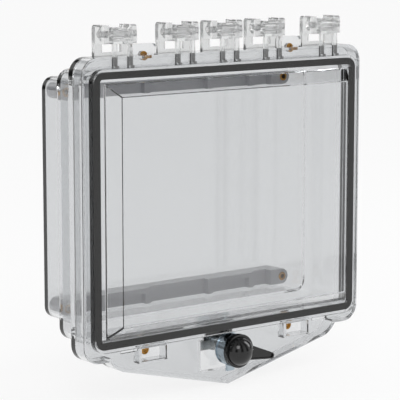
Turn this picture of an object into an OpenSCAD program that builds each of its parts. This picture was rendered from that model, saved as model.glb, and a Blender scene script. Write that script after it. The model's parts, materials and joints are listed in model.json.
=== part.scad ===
// Hinged enclosure moulded in clear polycarbonate: a deep stepped housing with a flange,
// a cover with a raised window that swings up on five tall hinges, and a quarter-turn latch.
// Origin at the centre of the rear wall's outer face, +Z up, the front faces -Y.
// A depth is a distance forward of that face, so a thing at depth d lies at y = -d.

/* [Rear box] */
// Width of the box at the back
box_w = 296; // [260:1:340]
// Height of the box at the back
box_h = 241; // [210:1:280]
// Radius of the box's upright corners, seen from the front
box_r = 12; // [8:0.5:20]
// Thickness of the rear wall
rear_t = 4; // [3:0.5:6]
// Thickness of the side walls
wall = 3.5; // [2.5:0.5:5]
// Depth at which the walls step out to the shoulder
shoulder_depth = 49; // [40:1:60]

/* [Shoulder] */
// How far the shoulder stands out beyond the box at each side
shoulder_out_x = 14.5; // [12:0.5:18]
// How far the shoulder stands out beyond the box at top and bottom
shoulder_out_z = 11.5; // [10:0.5:16]
// Radius of the shoulder's corners
shoulder_r = 14; // [10:0.5:20]

/* [Flange] */
// How far the flange stands out beyond the shoulder at each side
flange_out_x = 10.5; // [9:0.5:14]
// How far the flange stands out beyond the shoulder at top and bottom
flange_out_z = 13.5; // [12:0.5:16]
// Radius of the flange's corners
flange_r = 17; // [14:0.5:24]
// Depth of the flange's rear face
flange_depth = 85; // [75:1:95]
// Thickness of the flange
flange_t = 7; // [5:0.5:9]
// How far the sealing lip stands forward of the flange
lip_rise = 13; // [11:0.5:15]
// Thickness of the sealing lip
lip_t = 3; // [2:0.5:4]
// How far the sealing lip's outer face lies inside the shoulder's
lip_in = 1.5; // [1:0.5:2.5]

/* [Apron] */
// How far the apron's point hangs below the flange's bottom edge
apron_drop = 43.5; // [38:0.5:50]
// Radius of the apron's two lower corners
apron_r = 28; // [20:1:34]
// Distance of the apron's sides inside the flange's ends
apron_in = 26; // [20:1:34]
// Height of each corner's centre above the flange's bottom edge
apron_up = 14.5; // [10:0.5:18]

/* [Mounting bushes] */
// Distance of the bush centres inside the flange's top and bottom edges
bush_in = 1.5; // [0:0.5:3]
// Radius of a bush
bush_r = 4.5; // [4:0.25:6]
// Radius of the screw hole through a bush
bush_hole_r = 2.75; // [2:0.25:3.25]
// Gap between a top mounting lug and the hinges beside it
lug_gap = 1.5; // [1:0.25:3]
// How far a top mounting lug stands above the flange
lug_rise = 10; // [8:0.5:14]

/* [Cover] */
// Depth of the cover's skirt, from its rear edge to its front face
skirt_d = 15.2; // [13:0.1:18]
// Thickness of the cover's skirt and front plate
skirt_t = 3; // [2:0.5:4]
// How far the raised frame stands out beyond the gasket
frame_t = 3; // [2:0.5:4]
// How far the raised frame stands forward of the cover's flange
frame_rise = 6.5; // [5:0.5:8]
// Distance from the gasket's outer edge in to the window's foot
window_in = 10; // [9:0.5:14]
// How far the window's face lies inside its foot
window_slope = 12; // [8:0.5:16]
// How far the window stands forward of the raised frame
window_rise = 12.5; // [10:0.5:16]
// Thickness of the window
window_t = 3; // [2:0.5:4]
// Width of the gasket's band
gasket_w = 6.5; // [5:0.5:7]
// Thickness of the gasket
gasket_t = 5.7; // [5:0.1:6]
// Width of an access opening in the apron, in front of a bush
access_w = 30; // [24:1:34]
// Height of an access opening
access_h = 13; // [11:0.5:15]
// Width of a drain slot in the apron
drain_w = 20; // [16:1:24]
// Height of a drain slot
drain_h = 3.5; // [2.5:0.5:5]

/* [Hinges] */
// Width of one hinge
hinge_w = 40.6; // [36:0.2:44]
// Spacing of the three middle hinges
hinge_pitch = 54.5; // [48:0.5:56]
// Distance of the outermost hinges' middles inside the flange's ends
hinge_in = 44.9; // [38:0.1:46]
// Half width of the cover's middle knuckle
knuckle_half = 11.1; // [9:0.1:13]
// Gap between neighbouring knuckles
knuckle_gap = 0.3; // [0.2:0.05:0.6]
// Height of the pin above the flange's top edge
pin_up = 21; // [19:0.5:24]
// Radius of the pin
pin_r = 3; // [2:0.25:3.5]
// Gap round the pin
pin_fit = 0.05; // [0.02:0.01:0.1]
// Height of a fixed knuckle
knuckle_h = 17.5; // [15:0.5:20]
// Depth of a fixed knuckle, front to back
knuckle_d = 16; // [14:0.5:18]
// How much lower the cover's knuckle is at its top
knuckle_drop = 2; // [1:0.25:3]
// Thickness of a leaf's legs, front to back
leg_t = 4; // [3:0.25:5]
// Width of each of the cover leaf's two arms
arm_w = 4.6; // [3:0.2:6]

/* [Rails] */
// Distance of each rail's threaded bushes inside the box's side faces
post_in_x = 13; // [13:0.5:20]
// Distance of each rail's centre line inside the box's top or bottom face
post_in_z = 13.5; // [13:0.5:22]
// Height of a rail, and the diameter of its ends
rail_h = 16; // [13:0.5:18]
// How far a rail stands off the rear wall
rail_d = 16; // [12:0.5:20]
// How far the bosses at a rail's ends stand off the rear wall
post_d = 25; // [20:0.5:30]
// Radius of a rail's threaded bush
post_r = 4.5; // [4:0.25:5.5]
// Radius of the thread in that bush
post_hole_r = 2.5; // [1.5:0.25:3]
// Width of a raised loop on a rail
loop_w = 62; // [40:1:70]

/* [Latch] */
// Distance of the latch's axis below the raised frame
latch_below = 17; // [17:0.5:20]
// Radius of the latch housing
barrel_r = 16.5; // [14:0.5:16.5]
// How far the latch housing stands forward of the apron
barrel_d = 14.2; // [12:0.1:18]
// Radius of the housing's threaded tail
tail_r = 8; // [7:0.25:9]
// Radius of the knob's dome
dome_r = 15; // [12:0.5:16]
// Radius of the knob's base disc
knob_r = 17; // [16:0.5:18]
// Reach of the knob's wing from the axis to its tip
wing_reach = 45; // [36:1:50]
// Angle of the wing below level at rest
wing_angle = 14; // [0:1:20]
// Radius of the spindle
spindle_r = 4; // [3:0.25:5]
// Gap round the spindle
spindle_fit = 0.06; // [0.02:0.01:0.1]
// Reach of the cam from the axis
cam_reach = 18; // [16:0.5:18.5]
// Thickness of the cam
cam_t = 2.5; // [2:0.25:3]
// Thickness of the strike plate
strike_t = 2; // [1.5:0.25:3]

/* [Hidden] */
$fn = 96;

// Gap between pieces that close against each other
seat = 0.3;
// Overlap that keeps cuts clean
eps = 0.5;

shoulder_w = box_w + 2 * shoulder_out_x;
shoulder_h = box_h + 2 * shoulder_out_z;
flange_w = shoulder_w + 2 * flange_out_x;
flange_h = shoulder_h + 2 * flange_out_z;
flange_front = flange_depth + flange_t;
lip_front = flange_front + lip_rise;
cavity_w = shoulder_w - 2 * (lip_in + lip_t);
cavity_h = shoulder_h - 2 * (lip_in + lip_t);
cavity_r = shoulder_r - lip_in - lip_t;

skirt_rear = flange_front + seat;
cover_front = skirt_rear + skirt_d;
frame_front = cover_front + frame_rise;
gasket_rear = lip_front + seat;
frame_w = shoulder_w + 2 * frame_t;
frame_h = shoulder_h + 2 * frame_t;
frame_r = shoulder_r - 4;
foot_w = shoulder_w - 2 * window_in;
foot_h = shoulder_h - 2 * window_in;
window_front = frame_front + window_rise;
slope_angle = atan2(window_rise, window_slope);

apron_x = flange_w / 2 - apron_in - apron_r;
apron_z = -flange_h / 2 - apron_drop;
apron_corner_z = -flange_h / 2 + apron_up;
apron_run = norm([apron_x, apron_corner_z - apron_z]);
apron_tilt = atan2(apron_corner_z - apron_z, apron_x) - asin(apron_r / apron_run);

bush_z = flange_h / 2 - bush_in;
hinge_outer_x = flange_w / 2 - hinge_in;
bush_x = (hinge_pitch + hinge_outer_x) / 2;
lug_w = hinge_outer_x - hinge_pitch - hinge_w - 2 * lug_gap;
pin_z = flange_h / 2 + pin_up;
pin_depth = flange_front + 7;
hinge_x = [-hinge_outer_x, -hinge_pitch, 0, hinge_pitch, hinge_outer_x];
knuckle_base = pin_z - knuckle_h / 2;
post_x = box_w / 2 - post_in_x;
post_z = box_h / 2 - post_in_z;
post_front = rear_t + post_d;

latch_z = -frame_h / 2 - latch_below;
barrel_front = cover_front + barrel_d;
plate_rear = cover_front - skirt_t;
knob_rear = barrel_front + seat;
washer_t = 1.6;
nut_t = 4.5;
strike_depth = flange_depth - strike_t;
cam_front = strike_depth - 1;
cam_rear = cam_front - cam_t;
cam_half = 5.5;
square_half = 3;
stud_r = 2.5;
strike_low = latch_z + cam_half + 1.5;
strike_half = 17;
strike_screw_x = 12;
strike_screw_z = -flange_h / 2 + 5.5;
hatch_half = 24;
hatch_h = 32;

// A flat outline in X and Z, made solid from one depth to another
module slab(from, to) {
    translate([0, -from, 0]) rotate([90, 0, 0]) linear_extrude(to - from) children();
}

// Moves children to a place in X and Z, at the given depth, with their axis forwards
module facing(x, z, depth) {
    translate([x, -depth, z]) rotate([90, 0, 0]) children();
}

module rounded(w, h, r) {
    square([w - 2 * r, h], center = true);
    square([w, h - 2 * r], center = true);
    for (x = [-1, 1], z = [-1, 1]) translate([x * (w / 2 - r), z * (h / 2 - r)]) circle(r);
}

// Flange with its pointed apron; inset draws the same outline smaller all round
module flange_outline(inset = 0) {
    r = apron_r - inset;
    point = [0, apron_z + inset / cos(apron_tilt)];
    corner = [apron_x + r * sin(apron_tilt), apron_corner_z - r * cos(apron_tilt)];
    side = [apron_x + r, apron_corner_z];
    rounded(flange_w - 2 * inset, flange_h - 2 * inset, flange_r - inset);
    polygon([point, corner, side, [-side.x, side.y], [-corner.x, corner.y]]);
    for (s = [-1, 1]) translate([s * apron_x, apron_corner_z]) circle(r);
}

module top_lugs() {
    r = 4;
    for (s = [-1, 1]) translate([s * bush_x, flange_h / 2]) {
        translate([-lug_w / 2, -flange_out_z / 2]) square([lug_w, flange_out_z / 2 + lug_rise - r]);
        translate([-lug_w / 2 + r, 0]) square([lug_w - 2 * r, lug_rise]);
        for (c = [-1, 1]) translate([c * (lug_w / 2 - r), lug_rise - r]) circle(r);
    }
}

module at_bushes() {
    for (x = [-1, 1], z = [-1, 1]) translate([x * bush_x, z * bush_z]) children();
}

module rear_housing() {
    color([0.80, 0.82, 0.83, 0.45]) difference() {
        union() {
            slab(0, shoulder_depth + wall) rounded(box_w, box_h, box_r);
            slab(shoulder_depth, flange_front) rounded(shoulder_w, shoulder_h, shoulder_r);
            slab(flange_depth, flange_front) {
                flange_outline();
                top_lugs();
            }
            slab(flange_front - eps, lip_front)
                rounded(cavity_w + 2 * lip_t, cavity_h + 2 * lip_t, cavity_r + lip_t);
        }
        slab(rear_t, shoulder_depth + wall + eps)
            rounded(box_w - 2 * wall, box_h - 2 * wall, box_r - wall);
        slab(shoulder_depth + wall, lip_front + eps) rounded(cavity_w, cavity_h, cavity_r);
        slab(flange_depth - eps, flange_front + eps) {
            at_bushes() circle(bush_r);
            translate([-hatch_half, strike_low - hatch_h]) square([2 * hatch_half, hatch_h]);
        }
        for (s = [-1, 1]) facing(s * strike_screw_x, strike_screw_z, flange_depth - eps)
            cylinder(r = 1.5, h = 5 + eps);
    }
}

module mounting_bushes() {
    color([0.80, 0.62, 0.32]) slab(flange_depth, flange_front) at_bushes() difference() {
        circle(bush_r);
        circle(bush_hole_r);
    }
}

// Rail on the rear wall, with a boss at each end and two raised loops
module rail(z) {
    loop_x = post_x / 2;
    bar = 5;
    leg = 7;
    color([0.82, 0.84, 0.85, 0.5]) difference() {
        translate([0, 0, z]) {
            slab(rear_t, rear_t + rail_d) {
                square([2 * post_x, rail_h], center = true);
                for (s = [-1, 1]) translate([s * post_x, 0]) circle(rail_h / 2);
            }
            slab(rear_t, post_front) for (s = [-1, 1]) {
                translate([s * post_x, 0]) circle(rail_h / 2);
                translate([s * (post_x - rail_h / 2) - rail_h / 2, -rail_h / 2]) square(rail_h);
            }
            slab(rear_t, rear_t + rail_d + 6) for (s = [-1, 1]) translate([s * loop_x, 0]) {
                translate([-loop_w / 2, rail_h / 2 - bar]) square([loop_w, bar]);
                for (c = [-1, 1]) translate([c * (loop_w - leg) / 2 - leg / 2, -rail_h / 2])
                    square([leg, rail_h]);
            }
        }
        slab(rear_t + 2, post_front + eps) for (s = [-1, 1]) translate([s * post_x, z]) circle(post_r);
    }
}

module rail_bushes() {
    color([0.80, 0.62, 0.32]) for (x = [-1, 1], z = [-1, 1])
        slab(rear_t + 2, post_front + 0.5) translate([x * post_x, z * post_z]) difference() {
            circle(post_r);
            circle(post_hole_r);
        }
}

module strike_plate() {
    color([0.72, 0.73, 0.75]) difference() {
        slab(strike_depth, flange_depth)
            translate([-strike_half, strike_low]) square([2 * strike_half, -flange_h / 2 + 10 - strike_low]);
        for (s = [-1, 1]) facing(s * strike_screw_x, strike_screw_z, strike_depth) {
            translate([0, 0, -eps]) cylinder(r = 1.55, h = strike_t + 2 * eps);
            cylinder(r1 = 3, r2 = 1.5, h = 1.5);
        }
    }
}

module strike_screws() {
    color([0.60, 0.61, 0.63]) for (s = [-1, 1])
        facing(s * strike_screw_x, strike_screw_z, strike_depth) difference() {
            union() {
                cylinder(r1 = 2.9, r2 = 1.45, h = 1.45);
                cylinder(r = 1.45, h = strike_t + 5);
            }
            translate([-2, -0.4, -eps]) cube([4, 0.8, eps + 0.7]);
        }
}

// Housing side of a hinge: two legs on the flange's top edge and two outer knuckles
module fixed_leaf(x) {
    inner = knuckle_half + knuckle_gap;
    top = pin_z + knuckle_h / 2;
    corner = 3;
    rear = flange_front - leg_t;
    color([0.86, 0.87, 0.88, 0.45]) translate([x, 0, 0]) difference() {
        union() {
            slab(rear, flange_front) translate([-hinge_w / 2, flange_h / 2]) square([hinge_w, 3.5]);
            for (s = [0, 1]) mirror([s, 0, 0]) {
                slab(rear, flange_front) translate([inner, flange_h / 2])
                    square([hinge_w / 2 - inner, knuckle_base - flange_h / 2 + 1]);
                slab(rear, rear + knuckle_d) {
                    translate([inner, knuckle_base])
                        square([hinge_w / 2 - inner, knuckle_h - corner]);
                    translate([inner, knuckle_base])
                        square([hinge_w / 2 - inner - corner, knuckle_h]);
                    translate([hinge_w / 2 - corner, top - corner]) circle(corner);
                }
            }
        }
        translate([-hinge_w / 2 - eps, -pin_depth, pin_z]) rotate([0, 90, 0])
            cylinder(r = pin_r + pin_fit, h = hinge_w + 2 * eps);
        facing(-(inner + hinge_w / 2) / 2, pin_z, rear + knuckle_d - 1.2) cylinder(r = 3.2, h = 2);
    }
}

// Cover side of a hinge: a middle knuckle on two arms that stand on the cover's rim
module cover_leaf(x) {
    top = pin_z + knuckle_h / 2 - knuckle_drop;
    arm_front = cover_front + 3;
    rear_r = knuckle_h / 2 - knuckle_drop;
    foot = frame_h / 2;
    color([0.86, 0.87, 0.88, 0.45]) translate([x, 0, 0]) difference() {
        union() {
            slab(pin_depth, arm_front) translate([-knuckle_half, knuckle_base])
                square([2 * knuckle_half, top - knuckle_base]);
            translate([-knuckle_half, -pin_depth, pin_z]) rotate([0, 90, 0])
                cylinder(r = rear_r, h = 2 * knuckle_half);
            slab(cover_front, arm_front) for (s = [0, 1]) mirror([s, 0])
                translate([knuckle_half - arm_w, foot]) square([arm_w, knuckle_base - foot + 1]);
            slab(cover_front, frame_front - 1) for (s = [0, 1]) mirror([s, 0])
                translate([knuckle_half - arm_w, foot]) square([arm_w, 2.5]);
        }
        translate([-knuckle_half - eps, -pin_depth, pin_z]) rotate([0, 90, 0])
            cylinder(r = pin_r + pin_fit, h = 2 * knuckle_half + 2 * eps);
    }
}

module hinge_pin(x) {
    color([0.90, 0.91, 0.92, 0.6]) translate([x - hinge_w / 2, -pin_depth, pin_z]) rotate([0, 90, 0])
        cylinder(r = pin_r, h = hinge_w);
}

// Raised window as a frustum with mitred corners; inset shrinks it along each face
module window_body(inset = 0) {
    back = frame_front - window_t;
    front = window_front - inset;
    run = window_slope * (front - back) / window_rise;
    push = inset / sin(slope_angle) - window_slope * (frame_front - back) / window_rise;
    intersection_for (side = [[foot_w, 0], [foot_h, 90]]) {
        half = side[0] / 2 - push;
        rotate([0, side[1], 0]) translate([0, 0, -flange_w])
            linear_extrude(2 * flange_w)
                polygon([[-half, -back + eps], [half, -back + eps], [half, -back],
                         [half - run, -front], [run - half, -front], [-half, -back]]);
    }
}

module cover_window() {
    channel_w = shoulder_w - 2 * gasket_w;
    channel_h = shoulder_h - 2 * gasket_w;
    rib = 2;
    color([0.84, 0.86, 0.87, 0.45]) difference() {
        union() {
            difference() {
                slab(skirt_rear, cover_front) flange_outline();
                slab(skirt_rear - eps, plate_rear) flange_outline(skirt_t);
            }
            slab(plate_rear, frame_front) rounded(frame_w, frame_h, frame_r + frame_t);
            for (s = [-1, 1]) slab(skirt_rear + 3, plate_rear + eps)
                translate([s * bush_x, access_z()]) square([access_w + 2 * rib, access_h + 2 * rib], center = true);
        }
        slab(plate_rear - eps, frame_front - skirt_t) difference() {
            rounded(shoulder_w, shoulder_h, frame_r);
            rounded(channel_w, channel_h, 3);
        }
        slab(plate_rear - eps, frame_front + eps)
            square([foot_w - 2 * window_t, foot_h - 2 * window_t], center = true);
        for (s = [-1, 1]) slab(skirt_rear, cover_front + eps) {
            translate([s * bush_x, access_z()]) square([access_w, access_h], center = true);
            translate([s * (bush_x + access_w / 2 + drain_w / 2 + 5), -frame_h / 2 - drain_h - 1])
                translate([-drain_w / 2, 0]) square([drain_w, drain_h]);
        }
        facing(0, latch_z, plate_rear - eps) cylinder(r = tail_r + 0.05, h = skirt_t + 2 * eps);
    }
    color([0.84, 0.86, 0.87, 0.45]) difference() {
        window_body();
        window_body(window_t);
    }
}

function access_z() = -frame_h / 2 - 3 - access_h / 2;

module cover_gasket() {
    color([0.10, 0.09, 0.09]) slab(gasket_rear, gasket_rear + gasket_t) difference() {
        rounded(shoulder_w, shoulder_h, frame_r);
        rounded(shoulder_w - 2 * gasket_w, shoulder_h - 2 * gasket_w, 3);
    }
}

module latch_housing() {
    rim = 3;
    tail = plate_rear - washer_t - nut_t - 1.5;
    color([0.55, 0.60, 0.64]) difference() {
        union() {
            facing(0, latch_z, cover_front) cylinder(r = barrel_r - 0.8, h = barrel_d);
            facing(0, latch_z, barrel_front - rim) cylinder(r = barrel_r, h = rim);
            facing(0, latch_z, cover_front) cylinder(r = barrel_r, h = 1.5);
            facing(0, latch_z, tail) cylinder(r = tail_r, h = cover_front - tail + eps);
            slab(barrel_front - rim, barrel_front) translate([-12, latch_z - barrel_r - 3]) square([9, 8]);
        }
        facing(0, latch_z, tail - eps) cylinder(r = spindle_r + spindle_fit, h = barrel_front - tail + 2 * eps);
    }
}

module latch_washer() {
    color([0.70, 0.71, 0.73]) facing(0, latch_z, plate_rear - washer_t) difference() {
        cylinder(r = 13, h = washer_t);
        translate([0, 0, -eps]) cylinder(r = tail_r + 0.05, h = washer_t + 2 * eps);
    }
}

module latch_nut() {
    color([0.66, 0.67, 0.70]) facing(0, latch_z, plate_rear - washer_t - nut_t) difference() {
        cylinder(r = 12.5, h = nut_t, $fn = 6);
        translate([0, 0, -eps]) cylinder(r = tail_r + 0.05, h = nut_t + 2 * eps);
    }
}

module wing_outline(inset = 0) {
    tip = 3.2;
    root = 9.5;
    reach = wing_reach - tip;
    polygon([[0, root - inset], [reach, tip - inset], [reach, inset - tip], [0, inset - root]]);
    translate([reach, 0]) circle(tip - inset);
}

module latch_knob() {
    base_t = 4.5;
    wing_t = 5.5;
    rim_t = 1.4;
    color([0.05, 0.05, 0.055]) difference() {
        union() {
            facing(0, latch_z, knob_rear) cylinder(r = knob_r, h = base_t);
            intersection() {
                facing(0, latch_z, knob_rear + 2) sphere(dome_r);
                facing(0, latch_z, knob_rear + 1) cylinder(r = dome_r + 1, h = dome_r + 2);
            }
            translate([0, 0, latch_z]) rotate([0, wing_angle, 0]) {
                slab(knob_rear, knob_rear + wing_t - rim_t) wing_outline();
                slab(knob_rear, knob_rear + wing_t) difference() {
                    wing_outline();
                    wing_outline(rim_t);
                }
            }
        }
        facing(0, latch_z, knob_rear - eps) cylinder(r = spindle_r + spindle_fit, h = 8 + eps);
    }
}

module latch_spindle() {
    color([0.68, 0.69, 0.71]) {
        facing(0, latch_z, cam_front) cylinder(r = spindle_r, h = knob_rear + 7.7 - cam_front);
        slab(cam_rear + 0.2, cam_front + eps) translate([-square_half, latch_z - square_half])
            square(2 * square_half);
        facing(0, latch_z, cam_rear - 5) cylinder(r = stud_r, h = 5);
    }
}

module latch_cam() {
    color([0.70, 0.71, 0.73]) slab(cam_rear, cam_front) translate([0, latch_z]) difference() {
        union() {
            circle(cam_half + 1.5);
            translate([-cam_reach + 2, -cam_half]) square([cam_reach - 2, 2 * cam_half]);
            for (s = [-1, 1]) translate([-cam_reach + 2, s * (cam_half - 2)]) circle(2);
            translate([-cam_reach, 2 - cam_half]) square([3, 2 * cam_half - 4]);
        }
        square(2 * square_half + 0.1, center = true);
    }
}

module cam_nut() {
    color([0.66, 0.67, 0.70]) facing(0, latch_z, cam_rear - 4) difference() {
        cylinder(r = 4.9, h = 4, $fn = 6);
        translate([0, 0, -eps]) cylinder(r = stud_r + 0.05, h = 4 + 2 * eps);
    }
}

rear_housing();
rail(post_z);  // upper_rail
rail(-post_z);  // lower_rail
rail_bushes();
mounting_bushes();
strike_plate();
strike_screws();
for (i = [0:4]) {
    fixed_leaf(hinge_x[i]);
    cover_leaf(hinge_x[i]);
    hinge_pin(hinge_x[i]);
}
cover_window();
cover_gasket();
latch_housing();
latch_washer();
latch_nut();
latch_knob();
latch_spindle();
latch_cam();
cam_nut();
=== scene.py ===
"""Looks of the hinged clear enclosure: finishes, light and camera."""
import json
import math

import bpy
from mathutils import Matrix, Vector


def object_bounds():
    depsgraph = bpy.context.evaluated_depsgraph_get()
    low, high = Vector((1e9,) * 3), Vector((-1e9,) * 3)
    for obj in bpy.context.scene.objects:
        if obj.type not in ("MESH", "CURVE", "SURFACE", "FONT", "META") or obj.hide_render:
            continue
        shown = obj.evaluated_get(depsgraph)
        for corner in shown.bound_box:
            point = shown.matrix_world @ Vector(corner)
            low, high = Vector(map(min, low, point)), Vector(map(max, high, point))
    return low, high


MM = 0.001

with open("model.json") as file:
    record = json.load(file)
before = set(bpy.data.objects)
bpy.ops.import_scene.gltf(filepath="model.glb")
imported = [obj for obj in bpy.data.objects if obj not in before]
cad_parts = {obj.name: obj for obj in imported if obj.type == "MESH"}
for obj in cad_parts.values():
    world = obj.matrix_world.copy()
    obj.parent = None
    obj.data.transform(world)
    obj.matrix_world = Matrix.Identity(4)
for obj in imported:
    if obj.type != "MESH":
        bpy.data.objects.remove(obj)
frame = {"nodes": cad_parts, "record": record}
cad_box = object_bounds()


# Colour and node helpers

def linear(code):
    """Linear colour of an sRGB hex value, with alpha 1."""
    channels = [int(code[i:i + 2], 16) / 255 for i in (1, 3, 5)]
    return tuple(c / 12.92 if c <= 0.04045 else ((c + 0.055) / 1.055) ** 2.4
                 for c in channels) + (1.0,)


def add(tree, kind, settings=None, **inputs):
    """Adds a node. An input takes a value or another node's socket."""
    node = tree.nodes.new(kind)
    for name, value in (settings or {}).items():
        setattr(node, name, value)
    for name, value in inputs.items():
        numbered = name[0] == "i" and name[1:].isdigit()
        socket = node.inputs[int(name[1:]) if numbered else name.replace("_", " ")]
        if isinstance(value, bpy.types.NodeSocket):
            tree.links.new(value, socket)
        else:
            socket.default_value = value
    return node


def new_material(name):
    """An empty node material with its output and shader, and the object's own coordinates in metres."""
    material = bpy.data.materials.new(name)
    material.use_nodes = True
    tree = material.node_tree
    tree.nodes.clear()
    output = add(tree, "ShaderNodeOutputMaterial")
    shader = add(tree, "ShaderNodeBsdfPrincipled")
    tree.links.new(shader.outputs[0], output.inputs["Surface"])
    place = add(tree, "ShaderNodeTexCoord").outputs["Object"]
    return material, tree, shader, place


def noise(tree, place, size_mm, detail=2.0):
    """Noise with features of the given size."""
    return add(tree, "ShaderNodeTexNoise", Vector=place, Scale=1 / (size_mm * MM), Detail=detail).outputs["Fac"]


def spread(tree, value, low, high):
    """Maps 0.3 to 0.7 of a noise onto a range."""
    return add(tree, "ShaderNodeMapRange", i0=value, i1=0.3, i2=0.7, i3=low, i4=high).outputs[0]


def relief(tree, shader, height, depth_mm, strength=1.0):
    """Feeds a height into the shader's normal as a relief of the given depth."""
    bump = add(tree, "ShaderNodeBump", Height=height, Distance=depth_mm * MM, Strength=strength)
    tree.links.new(bump.outputs[0], shader.inputs["Normal"])


# Finishes

def moulded_polycarbonate(name, code, waviness_mm, haze, clearness=1.0):
    """Polycarbonate from a polished mould: water-clear with a grey cast in thick places, hard gloss.

    Solid bars and legs look milky rather than clear, because light scatters in the thick plastic.
    """
    material, tree, shader, place = new_material(name)
    shader.inputs["Base Color"].default_value = linear(code)
    shader.inputs["Transmission Weight"].default_value = clearness
    shader.inputs["IOR"].default_value = 1.585
    flow = noise(tree, place, 45, 1.0)
    tree.links.new(spread(tree, flow, haze * 0.5, haze), shader.inputs["Roughness"])
    relief(tree, shader, flow, waviness_mm)
    return material


def turned_brass():
    """Brass turned on a lathe: warm yellow, with fine rings that break up its shine."""
    material, tree, shader, place = new_material("turned_brass")
    shader.inputs["Metallic"].default_value = 1.0
    tone = spread(tree, noise(tree, place, 3), 0.0, 1.0)
    colour = add(tree, "ShaderNodeMix", {"data_type": "RGBA"},
                 i0=tone, i6=linear("#C99A4E"), i7=linear("#B98540"))
    tree.links.new(colour.outputs[2], shader.inputs["Base Color"])
    tree.links.new(spread(tree, noise(tree, place, 1.0), 0.22, 0.36), shader.inputs["Roughness"])
    relief(tree, shader, noise(tree, place, 0.5), 0.02)
    return material


def cellular_epdm():
    """Cellular EPDM rubber, extruded with a skin: brown-black, dull, with fine pores."""
    material, tree, shader, place = new_material("cellular_epdm")
    shader.inputs["Specular IOR Level"].default_value = 0.15
    tone = spread(tree, noise(tree, place, 12), 0.0, 1.0)
    colour = add(tree, "ShaderNodeMix", {"data_type": "RGBA"},
                 i0=tone, i6=linear("#171314"), i7=linear("#211C1D"))
    tree.links.new(colour.outputs[2], shader.inputs["Base Color"])
    tree.links.new(spread(tree, noise(tree, place, 2), 0.55, 0.75), shader.inputs["Roughness"])
    relief(tree, shader, noise(tree, place, 0.6, 3.0), 0.06)
    return material


def polished_zinc():
    """Die-cast zinc, polished and plated: blue-grey mirror with slight ripples from the casting."""
    material, tree, shader, place = new_material("polished_zinc")
    shader.inputs["Metallic"].default_value = 1.0
    shader.inputs["Base Color"].default_value = linear("#A9B4BC")
    tree.links.new(spread(tree, noise(tree, place, 4), 0.08, 0.16), shader.inputs["Roughness"])
    relief(tree, shader, noise(tree, place, 6), 0.04)
    return material


def zinc_plated_steel():
    """Pressed steel with bright zinc plating: pale grey with a faint cloudy bloom."""
    material, tree, shader, place = new_material("zinc_plated_steel")
    shader.inputs["Metallic"].default_value = 1.0
    tone = spread(tree, noise(tree, place, 5), 0.0, 1.0)
    colour = add(tree, "ShaderNodeMix", {"data_type": "RGBA"},
                 i0=tone, i6=linear("#B9BBBD"), i7=linear("#CFCFCC"))
    tree.links.new(colour.outputs[2], shader.inputs["Base Color"])
    tree.links.new(spread(tree, noise(tree, place, 2), 0.24, 0.4), shader.inputs["Roughness"])
    relief(tree, shader, noise(tree, place, 0.8), 0.01)
    return material


def black_polyamide():
    """Polyamide moulded in a polished tool: deep black with a wet gloss and faint sink marks."""
    material, tree, shader, place = new_material("black_polyamide")
    shader.inputs["Base Color"].default_value = linear("#050506")
    shader.inputs["IOR"].default_value = 1.53
    tree.links.new(spread(tree, noise(tree, place, 5), 0.1, 0.2), shader.inputs["Roughness"])
    relief(tree, shader, noise(tree, place, 8), 0.08)
    return material


clear_body = moulded_polycarbonate("polycarbonate_body", "#E6E7E8", 0.02, 0.03)
clear_leaf = moulded_polycarbonate("polycarbonate_leaf", "#ECEDED", 0.02, 0.06, 0.85)
clear_rod = moulded_polycarbonate("polycarbonate_rod", "#F0F0F0", 0.01, 0.12)
thick_bar = moulded_polycarbonate("polycarbonate_bar", "#F1F1F5", 0.02, 0.06, 0.15)
FINISHES = {
    "clear_polycarbonate": clear_body,
    "clear_hinge": clear_leaf,
    "clear_pin": clear_rod,
    "brass": turned_brass(),
    "epdm": cellular_epdm(),
    "die_cast_zinc": polished_zinc(),
    "zinc_steel": zinc_plated_steel(),
    "black_polyamide": black_polyamide(),
}


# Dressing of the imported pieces

THICK_BARS = ("upper_rail", "lower_rail")


def dress(name, finish):
    """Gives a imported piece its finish."""
    piece = frame["nodes"][name]
    piece.data.materials.clear()
    piece.data.materials.append(finish)


for subpart in frame["record"]["subparts"]:
    node = subpart["node"]
    dress(node, thick_bar if node in THICK_BARS else FINISHES[subpart["material_slot"]])


# Studio: levels of the room, where 1 is white

FILL_LEVEL = 0.8
GAP_LEVEL = 0.1
GAP_TURN = math.radians(232)  # puts a dim gap where the flat front faces mirror it to the camera
SOFT_BOXES = 8.0
CEILING_LEVEL = 0.6

FLOOR_HALF = 30.0
FLOOR_GLOW = 0.85


def seen_directly(tree):
    """1 for rays that show the backdrop: from the camera, off a gloss or through clear plastic."""
    rays = add(tree, "ShaderNodeLightPath")
    straight = add(tree, "ShaderNodeMath", {"operation": "MAXIMUM"},
                   i0=rays.outputs["Is Camera Ray"], i1=rays.outputs["Is Glossy Ray"])
    return add(tree, "ShaderNodeMath", {"operation": "MAXIMUM"},
               i0=straight.outputs[0], i1=rays.outputs["Is Transmission Ray"]).outputs[0]


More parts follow.
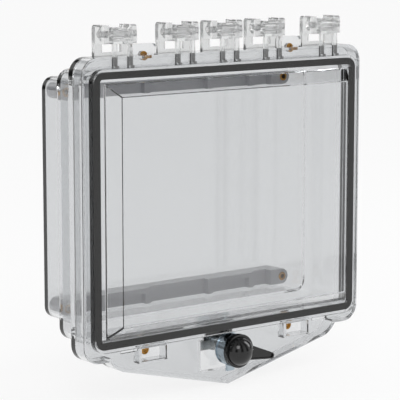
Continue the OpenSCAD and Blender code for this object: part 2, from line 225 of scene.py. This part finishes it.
def studio_world():
    """Eight tall soft boxes all round with dim gaps between them, on white for the camera itself.

    The gaps are what draws dark lines in bent and folded clear plastic and in the polished metal.
    """
    world = bpy.data.worlds.new("studio")
    bpy.context.scene.world = world
    world.use_nodes = True
    tree = world.node_tree
    tree.nodes.clear()
    output = add(tree, "ShaderNodeOutputWorld")
    way = add(tree, "ShaderNodeSeparateXYZ", Vector=add(tree, "ShaderNodeTexCoord").outputs["Generated"])
    turn = add(tree, "ShaderNodeMath", {"operation": "ARCTAN2"}, i0=way.outputs[1], i1=way.outputs[0])
    eighth = add(tree, "ShaderNodeMath", {"operation": "MULTIPLY_ADD"},
                 i0=turn.outputs[0], i1=SOFT_BOXES, i2=GAP_TURN)
    wave = add(tree, "ShaderNodeMath", {"operation": "COSINE"}, i0=eighth.outputs[0])
    boxes = add(tree, "ShaderNodeMapRange", {"interpolation_type": "SMOOTHSTEP"},
                i0=wave.outputs[0], i1=-0.75, i2=0.1, i3=GAP_LEVEL, i4=1.0)
    ceiling = add(tree, "ShaderNodeMapRange", {"interpolation_type": "SMOOTHSTEP"},
                  i0=way.outputs[2], i1=0.35, i2=0.8, i3=1.0, i4=CEILING_LEVEL)
    room = add(tree, "ShaderNodeMath", {"operation": "MULTIPLY"}, i0=boxes.outputs[0], i1=ceiling.outputs[0])
    rays = add(tree, "ShaderNodeLightPath")
    bent = add(tree, "ShaderNodeMix", {"data_type": "FLOAT"},
               i0=rays.outputs["Is Camera Ray"], i2=room.outputs[0], i3=1.0)
    level = add(tree, "ShaderNodeMix", {"data_type": "FLOAT"},
                i0=seen_directly(tree), i2=FILL_LEVEL, i3=bent.outputs[0])
    back = add(tree, "ShaderNodeBackground", Color=(1, 1, 1, 1), Strength=level.outputs[0])
    tree.links.new(back.outputs[0], output.inputs["Surface"])


def floor_slab():
    """Pale floor just under the part, white where nothing shades it."""
    mesh = bpy.data.meshes.new("floor")
    low = cad_box[0][2] - 0.5 * MM
    corners = [(x * FLOOR_HALF, y * FLOOR_HALF, low) for x, y in ((-1, -1), (1, -1), (1, 1), (-1, 1))]
    mesh.from_pydata(corners, [], [(0, 1, 2, 3)])
    floor = bpy.data.objects.new("floor", mesh)
    bpy.context.scene.collection.objects.link(floor)
    material, tree, shader, _ = new_material("pale_floor")
    shader.inputs["Base Color"].default_value = (0.85, 0.85, 0.85, 1)
    shader.inputs["Roughness"].default_value = 0.9
    glow = add(tree, "ShaderNodeEmission", Color=(1, 1, 1, 1), Strength=1.0)
    share = add(tree, "ShaderNodeMath", {"operation": "MULTIPLY"}, i0=seen_directly(tree), i1=FLOOR_GLOW)
    mix = add(tree, "ShaderNodeMixShader", i0=share.outputs[0], i1=shader.outputs[0], i2=glow.outputs[0])
    output = [n for n in tree.nodes if n.type == "OUTPUT_MATERIAL"][0]
    tree.links.new(mix.outputs[0], output.inputs["Surface"])
    mesh.materials.append(material)


def lamp(name, place, aim, size, power):
    """Square or oblong lamp that points from its place at its aim."""
    light = bpy.data.lights.new(name, "AREA")
    light.shape = "RECTANGLE"
    light.size, light.size_y = size
    light.energy = power
    holder = bpy.data.objects.new(name, light)
    holder.location = place
    holder.rotation_euler = (Vector(aim) - Vector(place)).to_track_quat("-Z", "Y").to_euler()
    bpy.context.scene.collection.objects.link(holder)


AZIMUTH = math.radians(-38.5)
ELEVATION = math.radians(8.7)
DISTANCE = 1.812


def camera():
    """Long lens from the left and a little above."""
    aim = Vector((0, -0.111, 0))
    out = Vector((math.sin(AZIMUTH) * math.cos(ELEVATION),
                  -math.cos(AZIMUTH) * math.cos(ELEVATION),
                  math.sin(ELEVATION)))
    turn = out.to_track_quat("Z", "Y")
    right, up = turn @ Vector((1, 0, 0)), turn @ Vector((0, 1, 0))
    place = aim + out * DISTANCE
    aim = aim - right * 0.0302 - up * 0.0018
    data = bpy.data.cameras.new("camera")
    data.lens = 164.9
    data.sensor_width = 36
    holder = bpy.data.objects.new("camera", data)
    holder.location = place
    holder.rotation_euler = (place - aim).to_track_quat("Z", "Y").to_euler()
    bpy.context.scene.collection.objects.link(holder)
    bpy.context.scene.camera = holder


studio_world()
floor_slab()
lamp("key", (-1.2, -1.6, 1.4), (0, -0.05, 0), (1.0, 1.0), 12)
lamp("rim", (1.4, -0.6, 0.9), (0, -0.05, 0), (0.5, 1.2), 8)
camera()

scene = bpy.context.scene
scene.view_settings.view_transform = "Standard"
scene.cycles.max_bounces = 24
scene.cycles.transmission_bounces = 24
scene.cycles.glossy_bounces = 8
